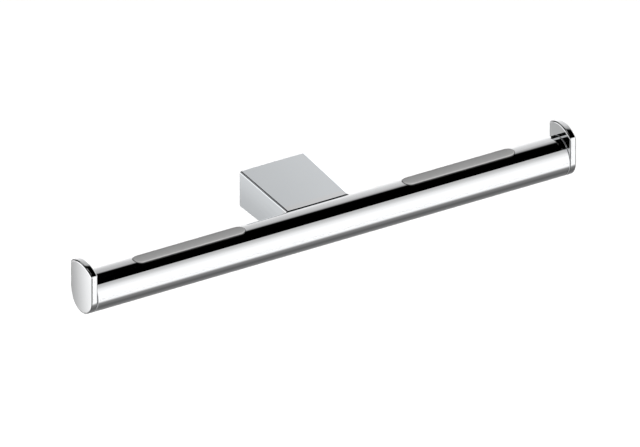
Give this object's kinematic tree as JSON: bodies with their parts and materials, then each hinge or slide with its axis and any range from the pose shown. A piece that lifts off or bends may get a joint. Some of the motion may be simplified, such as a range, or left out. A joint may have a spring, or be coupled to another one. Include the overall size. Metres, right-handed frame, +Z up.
{
  "type": "double toilet roll holder",
  "caption": "Wall-mounted chromed tube on a central block, with a raised lip plate at each end and a grey brake strip in the crest for each roll.",
  "frame": {"origin": "middle of the wall face, on the back of the wall bracket", "axes": "X along the bar, +Y into the wall, +Z up"},
  "size_m": [0.2954, 0.065, 0.0297],
  "materials": {
    "polished_chrome": "mirror polished chrome plate",
    "brake_elastomer": "matt moulded grey elastomer",
    "plug_nylon": "moulded black nylon",
    "bracket_zinc": "dull cast zinc",
    "fastener_steel": "bright zinc-plated steel"
  },
  "bodies": {
    "root": {"bar_tube": "polished_chrome", "end_plate_left": "polished_chrome", "end_plate_right": "polished_chrome", "mounting_block": "polished_chrome", "brake_pad_left": "brake_elastomer", "brake_pad_right": "brake_elastomer", "end_plug_left": "plug_nylon", "end_plug_right": "plug_nylon", "wall_bracket": "bracket_zinc", "nut_strip": "fastener_steel", "bracket_grub_screw": "fastener_steel", "bar_screw_left": "fastener_steel", "bar_washer_left": "fastener_steel", "end_screw_left_upper": "fastener_steel", "end_screw_left_lower": "fastener_steel", "bar_screw_right": "fastener_steel", "bar_washer_right": "fastener_steel", "end_screw_right_upper": "fastener_steel", "end_screw_right_lower": "fastener_steel"}
  },
  "joints": []
}
